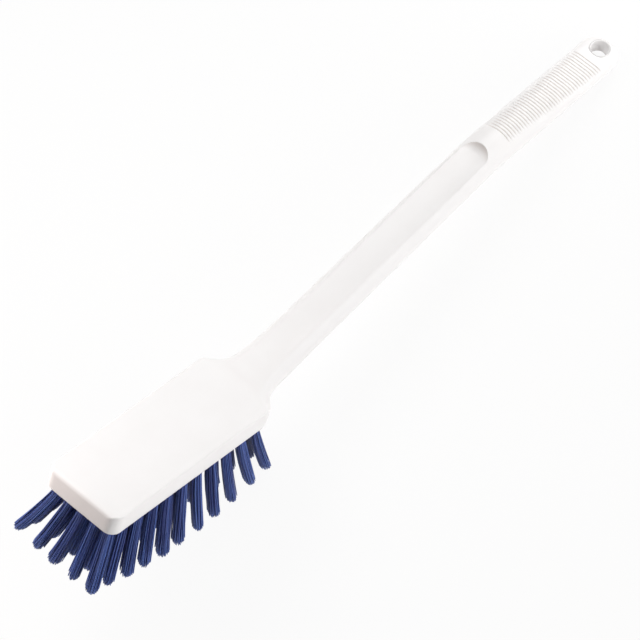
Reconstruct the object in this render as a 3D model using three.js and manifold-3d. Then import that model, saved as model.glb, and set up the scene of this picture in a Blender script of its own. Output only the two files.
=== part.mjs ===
// Long-handled dish brush: one moulded piece makes the head, the shaft and the ribbed grip, and tufts
// of stiff filament are folded into blind holes in the head, each held by a flat wire anchor.
// Millimetres. The brush is drawn in the head's own frame, with x running back from the front of the
// head, z out of its back and z = 0 at the bristle face, and is then laid down at rest, +Z up.

import * as THREE from 'three';
import { mergeVertices } from 'three/addons/utils/BufferGeometryUtils.js';
import Module from 'manifold-3d';

const wasm = await Module();
wasm.setup();

// Head block: a flat slab whose back has crisp edges, and whose sides and front swell out a little over
// the face. Each rounding has its size along the surface first and then its size down or up.
const HEAD_HALF_WIDTH = 23.7;
const HEAD_HEIGHT = 13.8;
const HEAD_CORNER_RADIUS = 6;
const HEAD_FRONT_EDGE = [2.5, 2.5];
const HEAD_BACK_ROUND = [0.9, 1.2];
const HEAD_FACE_ROUND = [0.6, 7.5];
const FRONT_BOW = 1.5;
const FRONT_BOW_LENGTH = 12;
const FRONT_BOW_FADE = 1.5;

// Spine of the moulding: level in the head, climbing along the shaft, flatter again in the grip
const SPINE_HEIGHT = 10.9;
const HEAD_ABOVE_SPINE = HEAD_HEIGHT - SPINE_HEIGHT;
const SHAFT_SLOPE = 0.354;
const GRIP_SLOPE = 0.184;
const NECK_START = 122;
const NECK_END = 160;
const BEND_START = 300;
const BEND_END = 316;

// Handle end with its hanging hole
const END_START = 404;
const END_LENGTH = 13.4;
const END_FULLNESS = 2.5;
const END_BACK_FULLNESS = 8;
const END_FACE_FULLNESS = 3;
const END_LAST_RING_DEGREES = 82;
const HOLE_CENTRE = 407.3;
const HOLE_RADIUS = 5.2;
const HOLE_SIDES = 24;

// Sections along the spine: half width, reach above and below the spine, and the size of the rounding,
// across and along the height, at the edges of the back and of the face
const station = (x, halfWidth, above, below, back, face) => ({
  x,
  halfWidth,
  above,
  below,
  backAcross: back[0],
  backDown: back[1],
  faceAcross: face[0],
  faceUp: face[1],
});
const oval = (x, halfWidth, above, below) =>
  station(x, halfWidth, above, below, [halfWidth, above], [halfWidth, below]);
const STATIONS = [
  station(0, HEAD_HALF_WIDTH, HEAD_ABOVE_SPINE, SPINE_HEIGHT, HEAD_BACK_ROUND, HEAD_FACE_ROUND),
  station(104, HEAD_HALF_WIDTH, HEAD_ABOVE_SPINE, SPINE_HEIGHT, HEAD_BACK_ROUND, HEAD_FACE_ROUND),
  station(119, HEAD_HALF_WIDTH, 3.2, SPINE_HEIGHT, HEAD_BACK_ROUND, HEAD_FACE_ROUND),
  station(123.5, 22.2, 3.7, 10.9, [9, 4.5], [0.9, 7.5]),
  station(127, 19.1, 4.7, 10.6, [11, 6], [3, 7.6]),
  station(130.5, 16, 6.1, 9.8, [11.5, 7], [7.5, 7.8]),
  station(135, 14.2, 7.7, 9, [12.5, 7.7], [11, 8]),
  oval(142, 13.5, 9.2, 8.4),
  oval(165, 12.7, 9.7, 8.5),
  oval(230, 12.3, 10, 9),
  oval(300, 11.8, 10.3, 9.5),
  oval(316, 11.7, 10.2, 9.6),
  station(350, 11.8, 8.2, 7.9, [10.5, 7], [11, 7.4]),
  station(END_START, 11.7, 4.8, 4.7, [7, 3.8], [8, 4.2]),
];
const CORNER_STEPS = 5;
const LEAST_STRAIGHT = 0.2;

// Thumb flat: it leaves the head's back, runs hollow along the top of the shaft and ends in a sloping
// step at the grip
const STEP_X = 304;
const FLAT_HEIGHTS = [
  { x: 119, above: 4.1 },
  { x: 123.5, above: 4.2 },
  { x: 130.5, above: 5.3 },
  { x: 142, above: 7 },
  { x: 160, above: 7.6 },
  { x: STEP_X, above: 7.4 },
];
const HOLLOW_DEPTH = 1.2;
const HOLLOW_START = 125;
const HOLLOW_FULL = 165;
const HOLLOW_DEEPENS = 230;
const STEP_HOLLOW_DEPTH = 1.8;
const STEP_WALL_DEGREES = 72;
const STEP_BOW = 2.6;
const FLAT_CUT_TOP = 20;
const FLAT_CUT_OVERLAP = 1.25;
const FLAT_CUT_STEPS = 8;

// Ribbed panel over the top of the grip
const GROOVE_COUNT = 37;
const GROOVE_FIRST = 320.4;
const GROOVE_LAST = 397.1;
const GROOVE_WIDTH = 0.9;
const GROOVE_DEPTH = 0.5;
const GROOVE_LOWEST_SHARE = 0.6;

// Tufts: rows across the head, columns along it
const TUFT_ROWS = 5;
const TUFT_COLUMNS = 11;
const ROW_PITCH = 8.4;
const COLUMN_PITCH = 11.3;
const FIRST_COLUMN = 6.5;
const BRISTLE_LENGTH = 43;
const FRONT_LEAN_DEGREES = -12;
const MIDDLE_LEAN_DEGREES = -7;
const REAR_LEAN_DEGREES = 21;
const OUTER_ROW_LEAN_DEGREES = 13;
const MIDDLE_SPLAY_DEGREES = 5;
const FRONT_DRIFT_DEGREES = 4.4;
const STRANDS_ROUND_TUFT = 6;
const STRAND_SIDES = 3;
const STRAND_RADIUS = 0.7;
const STRAND_RING_AT_ROOT = 1.5;
const STRAND_RING_AT_TIP = 2.5;
const SHORTEST_STRAND = 0.965;

// Bristle face: slices of it that carry the tufts, let into a pocket in the head
const SLICE_COLUMNS = [3, 3, 3, 2];
const SLICE_NAMES = ['tufts_front', 'tufts_mid_front', 'tufts_mid_rear', 'tufts_rear'];
const SLICE_HEIGHT = 2.7;
const POCKET_HEIGHT = 3;
const POCKET_START = 2.4;
const POCKET_END = 123;
const POCKET_HALF_WIDTH = 19.7;
const GAP = 0.3;

// Tuft holes, the folded roots in them and the wire anchors across the folds
const TUFT_SIDES = 6;
const TUFT_HOLE_RADIUS = 2.5;
const TUFT_HOLE_TOP = 11.4;
const ROOT_RADIUS = 2.1;
const ROOT_TOP = 11;
const FOLD_SLOT_WIDTH = 1.1;
const ANCHOR_LENGTH = 4;
const ANCHOR_THICKNESS = 0.5;
const ANCHOR_HEIGHT = 2;

// Search for the tilt at which the brush lies on the table
const STEEPEST_REST_DEGREES = 45;
const REST_HALVINGS = 40;

const WHITE_MOULDING = { color: 0xeeebe6, roughness: 0.42, metalness: 0 };
const BLUE_FILAMENT = { color: 0x27336f, roughness: 0.5, metalness: 0 };
const BRIGHT_WIRE = { color: 0xb9bcc0, roughness: 0.35, metalness: 1 };

const radians = THREE.MathUtils.degToRad;

// Share of the way from one x to another, and the area under it, for slopes that change evenly
function ramp(x, from, to) {
  return THREE.MathUtils.clamp((x - from) / (to - from), 0, 1);
}

function rampArea(x, from, to) {
  const share = ramp(x, from, to);
  return (share * share * (to - from)) / 2 + Math.max(x - to, 0);
}

function spineAt(x) {
  const bend = GRIP_SLOPE - SHAFT_SLOPE;
  const slope = SHAFT_SLOPE * ramp(x, NECK_START, NECK_END) + bend * ramp(x, BEND_START, BEND_END);
  const climb = SHAFT_SLOPE * rampArea(x, NECK_START, NECK_END) + bend * rampArea(x, BEND_START, BEND_END);
  return { height: SPINE_HEIGHT + climb, tilt: Math.atan(slope) };
}

// Point beside the spine, square to it: y across the brush, above out of its back
function besideSpine(x, y, above) {
  const { height, tilt } = spineAt(x);
  return new THREE.Vector3(x - above * Math.sin(tilt), y, height + above * Math.cos(tilt));
}

// Smooth value through a list of stations, with slopes held back so that it never overshoots
function throughStations(stations, key, x) {
  const last = stations.length - 2;
  const found = stations.findIndex((station, i) => i <= last && x <= stations[i + 1].x);
  const i = found < 0 ? last : found;
  const secant = (k) => (stations[k + 1][key] - stations[k][key]) / (stations[k + 1].x - stations[k].x);
  const slopeAt = (k) => {
    if (k === 0 || k > last) return 0;
    const before = secant(k - 1);
    const after = secant(k);
    return before * after <= 0 ? 0 : (2 * before * after) / (before + after);
  };
  const span = stations[i + 1].x - stations[i].x;
  const t = THREE.MathUtils.clamp((x - stations[i].x) / span, 0, 1);
  const s = 1 - t;
  return (
    stations[i][key] * s * s * (1 + 2 * t) +
    stations[i + 1][key] * t * t * (1 + 2 * s) +
    span * t * s * (slopeAt(i) * s - slopeAt(i + 1) * t)
  );
}

// How far a rounded end of a given radius has drawn in at a distance from its tip
function drawnIn(radius, fromTip) {
  const inside = Math.max(radius - fromTip, 0);
  return radius - Math.sqrt(radius * radius - inside * inside);
}

function sectionAt(x) {
  const section = {};
  Object.keys(STATIONS[0]).forEach((key) => {
    section[key] = throughStations(STATIONS, key, x);
  });
  section.halfWidth -= drawnIn(HEAD_CORNER_RADIUS, x);
  section.above -= (drawnIn(HEAD_FRONT_EDGE[0], x) * HEAD_FRONT_EDGE[1]) / HEAD_FRONT_EDGE[0];
  if (x > END_START) {
    const share = (x - END_START) / END_LENGTH;
    section.halfWidth *= (1 - share ** END_FULLNESS) ** (1 / END_FULLNESS);
    section.above *= Math.sqrt(1 - share ** END_BACK_FULLNESS);
    section.below *= Math.sqrt(1 - share ** END_FACE_FULLNESS);
  }
  return section;
}

// How far forward the front of the head swells at a height over the bristle face
function frontBow(x, height) {
  const fade = (1 - ramp(x, 0, FRONT_BOW_LENGTH)) ** FRONT_BOW_FADE;
  const below = Math.max(1 - height / HEAD_FACE_ROUND[1], 0);
  return FRONT_BOW * fade * Math.sqrt(Math.max(1 - below * below, 0));
}

// Ring of points round one section, from the top centre down the right side and up the left
function ringAt(x, inset = 0) {
  const section = sectionAt(x);
  const width = section.halfWidth - inset;
  const above = section.above - inset;
  const below = section.below - inset;
  const backAcross = Math.min(section.backAcross - inset, width - LEAST_STRAIGHT);
  const faceAcross = Math.min(section.faceAcross - inset, width - LEAST_STRAIGHT);
  const rounds = section.backDown + section.faceUp - 2 * inset;
  const fit = Math.min(1, (above + below - LEAST_STRAIGHT) / rounds);
  const backDown = (section.backDown - inset) * fit;
  const faceUp = (section.faceUp - inset) * fit;
  const half = [];
  for (let k = 0; k <= CORNER_STEPS; k += 1) {
    const angle = (Math.PI / 2) * (1 - k / CORNER_STEPS);
    half.push([width - backAcross * (1 - Math.cos(angle)), above - backDown * (1 - Math.sin(angle))]);
  }
  for (let k = 0; k <= CORNER_STEPS; k += 1) {
    const angle = (Math.PI / 2) * (k / CORNER_STEPS);
    half.push([width - faceAcross * (1 - Math.cos(angle)), faceUp * (1 - Math.sin(angle)) - below]);
  }
  const place = (across, up) => {
    const point = besideSpine(x, across, up);
    point.x -= frontBow(x, point.z);
    return point;
  };
  const right = half.map(([across, up]) => place(-across, up));
  const left = half.map(([across, up]) => place(across, up)).reverse();
  return [place(0, above), ...right, ...left];
}

// Closed body through rings of equal point counts, each turning right-handed about the way forward.
// The two ends are filled in strips between points that mirror each other.
function loft(rings) {
  const count = rings[0].length;
  const positions = rings.flat().flatMap((point) => point.toArray());
  const index = [];
  for (let j = 0; j + 1 < rings.length; j += 1) {
    for (let k = 0; k < count; k += 1) {
      const a = j * count + k;
      const b = j * count + ((k + 1) % count);
      index.push(a, b, b + count, a, b + count, a + count);
    }
  }
  const end = (rings.length - 1) * count;
  const fill = (a, b, c) => index.push(a, c, b, end + a, end + b, end + c);
  const mirrored = (k) => (count - k) % count;
  for (let k = 0; k + 1 <= mirrored(k + 1); k += 1) {
    if (k + 1 < mirrored(k + 1)) fill(k, k + 1, mirrored(k + 1));
    if (k > 0) fill(k, mirrored(k + 1), mirrored(k));
  }
  const geometry = new THREE.BufferGeometry();
  geometry.setAttribute('position', new THREE.Float32BufferAttribute(positions, 3));
  geometry.setIndex(index);
  return geometry;
}

// Solids for joining and cutting, and back to geometry
function solidOf(geometry) {
  const bare = geometry.clone();
  bare.deleteAttribute('normal');
  bare.deleteAttribute('uv');
  const merged = mergeVertices(bare);
  const vertProperties = new Float32Array(merged.attributes.position.array);
  const triVerts = new Uint32Array(merged.index.array);
  return new wasm.Manifold(new wasm.Mesh({ numProp: 3, vertProperties, triVerts }));
}

function geometryOf(solid) {
  const mesh = solid.getMesh();
  const geometry = new THREE.BufferGeometry();
  geometry.setAttribute('position', new THREE.BufferAttribute(new Float32Array(mesh.vertProperties), 3));
  geometry.setIndex(new THREE.BufferAttribute(new Uint32Array(mesh.triVerts), 1));
  geometry.computeVertexNormals();
  return geometry;
}

function joined(solids) {
  return solids.reduce((sum, solid) => sum.add(solid));
}

function boxBetween(low, high) {
  const size = new THREE.Vector3().subVectors(high, low);
  const centre = new THREE.Vector3().addVectors(low, high).multiplyScalar(0.5);
  return new THREE.BoxGeometry(size.x, size.y, size.z).translate(centre.x, centre.y, centre.z);
}

function uprightPrism(radius, sides, x, y, low, high) {
  const prism = new THREE.CylinderGeometry(radius, radius, high - low, sides);
  return prism.rotateX(Math.PI / 2).translate(x, y, (low + high) / 2);
}

// Moulded body before its cuts: closely spaced rings where the outline turns
function mouldingBody() {
  const turn = (steps, place) => Array.from({ length: steps }, (unused, k) => place(k / (steps - 1)));
  const xs = [
    ...turn(6, (t) => HEAD_CORNER_RADIUS * (1 - Math.cos((t * Math.PI) / 2))),
    9,
    FRONT_BOW_LENGTH,
    104,
    112,
    ...turn(12, (t) => THREE.MathUtils.lerp(119, 142, t)),
    ...turn(3, (t) => THREE.MathUtils.lerp(148, NECK_END, t)),
    195,
    230,
    265,
    ...turn(4, (t) => THREE.MathUtils.lerp(BEND_START, BEND_END, t)),
    333,
    350,
    377,
    ...turn(9, (t) => END_START + END_LENGTH * Math.sin(t * radians(END_LAST_RING_DEGREES))),
  ];
  return solidOf(loft(xs.map((x) => ringAt(x))));
}

// Section of what is cut away over the thumb flat. Its floor is a shallow arc between the two ridges.
// At the step each point moves along the spine with its height, which makes the steep wall, and the more
// the nearer it is to the middle, which bows the wall.
function flatRing(x, wallSlope, bow) {
  const section = sectionAt(x);
  const flat = throughStations(FLAT_HEIGHTS, 'above', x);
  const rise = THREE.MathUtils.clamp(1 - (section.above - flat) / section.backDown, 0, 1);
  const ridge = section.halfWidth - section.backAcross * (1 - Math.sqrt(1 - rise * rise));
  const deepest = THREE.MathUtils.lerp(HOLLOW_DEPTH, STEP_HOLLOW_DEPTH, ramp(x, HOLLOW_DEEPENS, STEP_X));
  const depth = deepest * ramp(x, HOLLOW_START, HOLLOW_FULL);
  const { tilt } = spineAt(x);
  const place = (across, up) => {
    const point = besideSpine(x, across, up);
    const along = (up - flat) * wallSlope + bow * (1 - (across / ridge) ** 2);
    point.x += along * Math.cos(tilt);
    point.z += along * Math.sin(tilt);
    return point;
  };
  const edge = ridge * FLAT_CUT_OVERLAP;
  const floor = [];
  for (let k = 0; k <= FLAT_CUT_STEPS; k += 1) {
    const across = THREE.MathUtils.lerp(-edge, edge, k / FLAT_CUT_STEPS);
    floor.push(place(across, flat + depth * ((across / ridge) ** 2 - 1)));
  }
  return [place(0, FLAT_CUT_TOP), place(-edge, FLAT_CUT_TOP), ...floor, place(edge, FLAT_CUT_TOP)];
}

function flatCutter() {
  const xs = [119, 123.5, 127, 130.5, 135, 142, 150, NECK_END, 195, 250];
  const rings = xs.map((x) => flatRing(x, 0, 0));
  rings.push(flatRing(STEP_X, 1 / Math.tan(radians(STEP_WALL_DEGREES)), STEP_BOW));
  return solidOf(loft(rings));
}

// Narrow slabs across the grip, less the body inside the groove floors
function grooveCutter() {
  const slabs = [];
  for (let k = 0; k < GROOVE_COUNT; k += 1) {
    const x = THREE.MathUtils.lerp(GROOVE_FIRST, GROOVE_LAST, k / (GROOVE_COUNT - 1));
    const { above } = sectionAt(x);
    const lowest = GROOVE_LOWEST_SHARE * above;
    const middle = besideSpine(x, 0, lowest + above / 2);
    const slab = new THREE.BoxGeometry(GROOVE_WIDTH, 2 * HEAD_HALF_WIDTH, above);
    slab.rotateY(-spineAt(x).tilt).translate(middle.x, middle.y, middle.z);
    slabs.push(solidOf(slab));
  }
  const core = loft([BEND_END, 333, 350, 377, END_START].map((x) => ringAt(x, GROOVE_DEPTH)));
  return joined(slabs).subtract(solidOf(core));
}

function tuftPlaces() {
  const places = [];
  for (let column = 0; column < TUFT_COLUMNS; column += 1) {
    for (let row = 0; row < TUFT_ROWS; row += 1) {
      const along = (2 * column) / (TUFT_COLUMNS - 1) - 1;
      const across = 1 - (2 * row) / (TUFT_ROWS - 1);
      const x = FIRST_COLUMN + column * COLUMN_PITCH;
      const y = (across * (TUFT_ROWS - 1) * ROW_PITCH) / 2;
      places.push({ column, row, along, across, x, y });
    }
  }
  return places;
}

function bristlePocket() {
  const low = new THREE.Vector3(POCKET_START, -POCKET_HALF_WIDTH, -POCKET_HEIGHT);
  const high = new THREE.Vector3(POCKET_END, POCKET_HALF_WIDTH, POCKET_HEIGHT);
  const hole = ({ x, y }) => solidOf(uprightPrism(TUFT_HOLE_RADIUS, TUFT_SIDES, x, y, 0, TUFT_HOLE_TOP));
  return joined([solidOf(boxBetween(low, high)), ...tuftPlaces().map(hole)]);
}

function hangingHole() {
  const { height } = spineAt(HOLE_CENTRE);
  const reach = END_LENGTH;
  return solidOf(uprightPrism(HOLE_RADIUS, HOLE_SIDES, HOLE_CENTRE, 0, height - reach, height + reach));
}

function handleMoulding() {
  const cuts = [flatCutter(), grooveCutter(), bristlePocket(), hangingHole()];
  return geometryOf(cuts.reduce((body, cut) => body.subtract(cut), mouldingBody()));
}

// Straight strand with a flat tip, from inside its slice of the bristle face
function strand(root, tip, turn) {
  const forward = new THREE.Vector3().subVectors(tip, root).normalize();
  const facing = new THREE.Quaternion().setFromUnitVectors(new THREE.Vector3(0, 0, 1), forward);
  const ring = (centre) =>
    Array.from({ length: STRAND_SIDES }, (unused, k) => {
      const angle = turn + (2 * Math.PI * k) / STRAND_SIDES;
      const rim = new THREE.Vector3(Math.cos(angle), Math.sin(angle), 0).multiplyScalar(STRAND_RADIUS);
      return rim.applyQuaternion(facing).add(centre);
    });
  return solidOf(loft([ring(root), ring(tip)]));
}

// One tuft: a strand down the middle and a ring of strands that spread a little towards their tips,
// the whole leaning outwards by its place in the field
function tuftStrands({ column, row, along, across, x, y }) {
  const spread = (REAR_LEAN_DEGREES - FRONT_LEAN_DEGREES) / 2;
  const bow = (REAR_LEAN_DEGREES + FRONT_LEAN_DEGREES) / 2 - MIDDLE_LEAN_DEGREES;
  const leanAlong = radians(MIDDLE_LEAN_DEGREES + spread * along + bow * along * along);
  const drift = FRONT_DRIFT_DEGREES * Math.max(-along, 0) ** 2;
  const splay = OUTER_ROW_LEAN_DEGREES + MIDDLE_SPLAY_DEGREES * (1 - along * along);
  const leanAcross = radians(splay * across + drift);
  const way = new THREE.Vector3(Math.tan(leanAlong), Math.tan(leanAcross), -1).normalize();
  const strands = [];
  for (let k = 0; k <= STRANDS_ROUND_TUFT; k += 1) {
    const angle = (2 * Math.PI * k) / STRANDS_ROUND_TUFT;
    const out = new THREE.Vector3(Math.cos(angle), Math.sin(angle), 0);
    out.multiplyScalar(k < STRANDS_ROUND_TUFT ? 1 : 0);
    const uneven = ((3 * k + 2 * column + row) % 5) / 4;
    const length = BRISTLE_LENGTH * THREE.MathUtils.lerp(SHORTEST_STRAND, 1, uneven);
    const root = new THREE.Vector3(x, y, 0).addScaledVector(out, STRAND_RING_AT_ROOT);
    const tip = new THREE.Vector3(x, y, 0).addScaledVector(out, STRAND_RING_AT_TIP);
    tip.addScaledVector(way, length);
    const inside = new THREE.Vector3().subVectors(root, tip).multiplyScalar(1 / (root.z - tip.z));
    strands.push(strand(root.addScaledVector(inside, SLICE_HEIGHT / 2), tip, angle));
  }
  return strands;
}

// Folded root of a tuft inside its hole, parted at the top where the anchor crosses it
function tuftRoot({ x, y }) {
  const root = solidOf(uprightPrism(ROOT_RADIUS, TUFT_SIDES, x, y, SLICE_HEIGHT / 2, ROOT_TOP));
  const slotFloor = ROOT_TOP - ANCHOR_HEIGHT - GAP;
  const low = new THREE.Vector3(x - FOLD_SLOT_WIDTH / 2, y - HEAD_HALF_WIDTH, slotFloor);
  const high = new THREE.Vector3(x + FOLD_SLOT_WIDTH / 2, y + HEAD_HALF_WIDTH, TUFT_HOLE_TOP);
  return root.subtract(solidOf(boxBetween(low, high)));
}

// Slice of the bristle face with its columns of tufts
function tuftSlice(firstColumn, columns) {
  const border = (column) => FIRST_COLUMN + (column - 0.5) * COLUMN_PITCH;
  const start = firstColumn === 0 ? POCKET_START + GAP : border(firstColumn) + GAP / 2;
  const next = firstColumn + columns;
  const end = next === TUFT_COLUMNS ? POCKET_END - GAP : border(next) - GAP / 2;
  const halfWidth = POCKET_HALF_WIDTH - GAP;
  const low = new THREE.Vector3(start, -halfWidth, 0);
  const high = new THREE.Vector3(end, halfWidth, SLICE_HEIGHT);
  const places = tuftPlaces().filter(({ column }) => column >= firstColumn && column < next);
  const slice = solidOf(boxBetween(low, high));
  return geometryOf(joined([slice, ...places.map(tuftRoot), ...places.flatMap(tuftStrands)]));
}

function anchor({ x, y }) {
  const low = new THREE.Vector3(x - ANCHOR_THICKNESS / 2, y - ANCHOR_LENGTH / 2, ROOT_TOP - ANCHOR_HEIGHT);
  const high = new THREE.Vector3(x + ANCHOR_THICKNESS / 2, y + ANCHOR_LENGTH / 2, ROOT_TOP);
  return boxBetween(low, high);
}

function part(name, geometry, finish) {
  const mesh = new THREE.Mesh(geometry, new THREE.MeshStandardMaterial(finish));
  mesh.name = name;
  return mesh;
}

// Lowest point of some parts once the brush is turned nose up about the y axis
function lowestAt(parts, tilt) {
  let lowest = Infinity;
  parts.forEach(({ geometry }) => {
    const { position } = geometry.attributes;
    for (let k = 0; k < position.count; k += 1) {
      lowest = Math.min(lowest, position.getZ(k) * Math.cos(tilt) - position.getX(k) * Math.sin(tilt));
    }
  });
  return lowest;
}

// Tilt at which the rear tufts and the handle end touch the table together, found by halving
function restTilt(handle, tufts) {
  let low = 0;
  let high = radians(STEEPEST_REST_DEGREES);
  for (let k = 0; k < REST_HALVINGS; k += 1) {
    const middle = (low + high) / 2;
    if (lowestAt(tufts, middle) < lowestAt([handle], middle)) low = middle;
    else high = middle;
  }
  return low;
}

const handle = part('handle_moulding', handleMoulding(), WHITE_MOULDING);
const tufts = SLICE_NAMES.map((name, k) => {
  const firstColumn = SLICE_COLUMNS.slice(0, k).reduce((sum, count) => sum + count, 0);
  return part(name, tuftSlice(firstColumn, SLICE_COLUMNS[k]), BLUE_FILAMENT);
});
const anchors = tuftPlaces().map((place) => {
  const name = `tuft_anchor_row${place.row + 1}_${String(place.column + 1).padStart(2, '0')}`;
  return part(name, anchor(place), BRIGHT_WIRE);
});

// Laid down: turned about y, then moved so that the middle of its box stands over the origin
const brush = new THREE.Group();
brush.add(handle, ...tufts, ...anchors);
brush.rotation.y = restTilt(handle, tufts);
const laid = new THREE.Box3().setFromObject(brush, true);
brush.position.set(-(laid.min.x + laid.max.x) / 2, 0, -laid.min.z);

const group = new THREE.Group();
group.add(brush);

export default group;
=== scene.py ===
import math

import bpy
import numpy as np
from bpy.props import FloatProperty, FloatVectorProperty, IntProperty, PointerProperty
from bpy.types import NodeSocket, Operator, Panel, PropertyGroup
from mathutils import Matrix, Vector


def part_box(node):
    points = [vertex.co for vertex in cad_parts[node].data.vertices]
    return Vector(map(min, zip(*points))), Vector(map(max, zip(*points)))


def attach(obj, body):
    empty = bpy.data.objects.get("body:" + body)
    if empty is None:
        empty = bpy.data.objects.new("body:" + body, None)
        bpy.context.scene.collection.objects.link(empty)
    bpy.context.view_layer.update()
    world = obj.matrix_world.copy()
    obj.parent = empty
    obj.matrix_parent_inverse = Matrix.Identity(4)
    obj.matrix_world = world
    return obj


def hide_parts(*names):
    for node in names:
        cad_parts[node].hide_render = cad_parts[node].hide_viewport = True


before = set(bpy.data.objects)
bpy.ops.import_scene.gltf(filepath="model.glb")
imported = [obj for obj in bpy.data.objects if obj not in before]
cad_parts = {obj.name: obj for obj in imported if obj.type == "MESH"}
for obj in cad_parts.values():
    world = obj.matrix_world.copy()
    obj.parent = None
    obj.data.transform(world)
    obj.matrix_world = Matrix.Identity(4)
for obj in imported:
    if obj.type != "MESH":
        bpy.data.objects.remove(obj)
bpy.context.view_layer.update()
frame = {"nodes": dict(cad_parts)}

bl_info = {
    "name": "Dish brush dressing",
    "version": (1, 0, 0),
    "blender": (4, 5, 0),
    "location": "View3D > Sidebar > Dish brush",
    "description": "Moulded handle, bristle tufts and finishes of a long-handled dish brush",
    "category": "Object",
}

# The brush is worked out in millimetres in the head's own frame: x back from the front of the head,
# y to the left, z out of its back and z = 0 at the bristle face. Properties are in metres.
MM = 1000

# Head block
HEAD_CORNER = 6.0
HEAD_FRONT_EDGE = 2.5
FRONT_BOW = 1.5
FRONT_BOW_LENGTH = 12.0
FRONT_BOW_FADE = 1.5
FACE_ROUND_UP = 7.5
FACE_HALF_WIDTH = 23.1

# Spine of the moulding
SPINE_HEIGHT = 10.9
SHAFT_SLOPE = 0.354
GRIP_SLOPE = 0.184
NECK = (122.0, 160.0)
BEND = (300.0, 316.0)
END_TURN_UP = 0.25
TURN_UP = (398.0, 414.0)

# Sections along the spine: x, half width, above, below, then the rounding across and in height at
# the edges of the back and of the face
STATIONS = np.array([
    (0, 23.7, 2.9, 10.9, 0.9, 1.2, 0.6, 7.5),
    (104, 23.7, 2.9, 10.9, 0.9, 1.2, 0.6, 7.5),
    (119, 23.7, 3.2, 10.9, 0.9, 1.2, 0.6, 7.5),
    (123.5, 22.2, 3.7, 10.9, 9, 4.5, 0.9, 7.5),
    (127, 19.1, 4.7, 10.6, 11, 6, 3, 7.6),
    (130.5, 16, 6.1, 9.8, 11.5, 7, 7.5, 7.8),
    (135, 14.2, 7.7, 9, 12.5, 7.7, 11, 8),
    (142, 13.5, 9.2, 8.4, 13.5, 9.2, 13.5, 8.4),
    (165, 12.7, 9.7, 8.5, 12.7, 9.7, 12.7, 8.5),
    (230, 12.3, 10, 9, 12.3, 10, 12.3, 9),
    (300, 11.8, 10.3, 9.5, 11.8, 10.3, 11.8, 9.5),
    (316, 11.7, 10.2, 9.6, 11.7, 10.2, 11.7, 9.6),
    (350, 11.8, 8.2, 7.9, 10.5, 7, 11, 7.4),
    (404, 11.7, 4.8, 4.7, 7, 3.8, 8, 4.2),
])
LEAST_STRAIGHT = 0.2

# Thumb flat on top of the shaft
FLAT_X = np.array([119, 123.5, 130.5, 142, 160, 304.0])
FLAT_ABOVE = np.array([4.1, 4.2, 5.3, 7, 7.6, 7.4])
FLAT_LIFT = 1.5
FLAT_LIFT_ENDS = (112.0, 126.0)
FLAT_LEAST_HALF = 1.0
HOLLOW_ENDS = (125.0, 165.0)
HOLLOW_DEEPENS = (230.0, 304.0)
RIDGE_LEAST_ROUND = 0.02

# Step where the flat ends: its rim bows as a parabola down to a least share, and its cove climbs on
# past the back
STEP_X = 304.4
STEP_BOW = 3.5
STEP_BOW_LEAST = -0.5
STEP_HALF_WIDTH = 8.4
STEP_OVER = 1.0
# Share of painted shade on the step's wall, growing towards its rim.
STEP_PAINTED_SHADE = 0.62
STEP_WARP = (290.0, 301.0, 309.0, 318.5)

# Grooves of the grip: first, last and how many. They, and the painted shade laid in them, fade in
# over these shares of the back's height.
GROOVES = (320.4, 397.1, 37)
GROOVE_PITCH = (GROOVES[1] - GROOVES[0]) / (GROOVES[2] - 1)
GROOVE_FADE = (0.62, 0.9)
GROOVE_PAINTED_SHADE_FADE = (0.7, 0.94)

# End of the grip. Width, top and underside close as superellipses of these powers.
END_START = 404.0
END_LENGTH = 12.2
END_SHARE = 0.9975
END_WIDTH_POWER = 2.5
END_TOP_POWER = 8
END_UNDER_POWER = 1.6
CAP_RINGS = np.array((0.97, 0.9, 0.75, 0.55, 0.3))

# Hanging hole, and the block of cells round it
HOLE_CENTRE = 407.3
HOLE_RADIUS = 5.2
HOLE_BLOCK = (398.3, 415.2)
HOLE_CELLS = 20
HOLE_LOOP = 14
HOLE_SPREAD = 0.6
HOLE_RIM_ROWS = 5

# Tufts: rows across the head, columns along it, each in a square of cells of the bristle face
ROWS = 5
COLUMNS = 11
ROW_PITCH = 8.4
COLUMN_PITCH = 11.3
FIRST_COLUMN = 6.5
CELL = 10
ANCHOR_HEIGHT = 10.0
TUFT_GROUPS = {"front": (0, 3), "mid_front": (3, 6), "mid_rear": (6, 9), "rear": (9, 11)}

# Rings of the sheet round a tuft hole, from its centre out to the cell's edge: radius, depth, and
# the share of the plain square sheet
HOLE_RINGS = np.array([
    (0, 2, 0), (2.35, 2, 0), (2.5, 0.25, 0), (2.8, 0, 0), (3.5, 0, 0.5), (0, 0, 1),
])
HOLE_DEPTH = HOLE_RINGS[0, 1]

# Lines of the sheet: x at the front edge, how many up to each further x, x round a groove, how many
# at the sides, and where the face's lines change from fitting the tufts to fitting the hanging hole
FRONT_LINES = (0, 0.12, 0.32, 0.56)
LINES_TO = ((NECK[1], 33), (298, 41), (303, 12), (306, 20))
LINES_TO_GROOVES = 19
GROOVE_LINES = (-0.5, -0.33, -0.17, 0, 0.17, 0.33, 0.5, 0.85, 1.28)
LINES_PAST_GROOVES = 2
END_LINES = 12
SIDE_CELLS = 16
EDGE_LINES = 7
FACE_FADE = (128.0, 190.0)

# Filaments: places along one and its radius there as shares, and how a tuft's filaments spread
SEED = 7
FILAMENT_SHARES = np.array((-0.04, 0, 0.22, 0.45, 0.68, 0.88, 0.985, 1.0))
FILAMENT_TAPER = np.array((1, 1, 1, 1, 1, 1, 0.95, 0.5))
FILAMENT_SIDES = 5
BEND_POWER = 1.25
FLARE_POWER = 0.6
DOME_POWER = 3
TIP_SCATTER = 0.06
TIP_SPREAD = (0.94, 1.2)
RIGHT_DRIFT = 0.3

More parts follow.
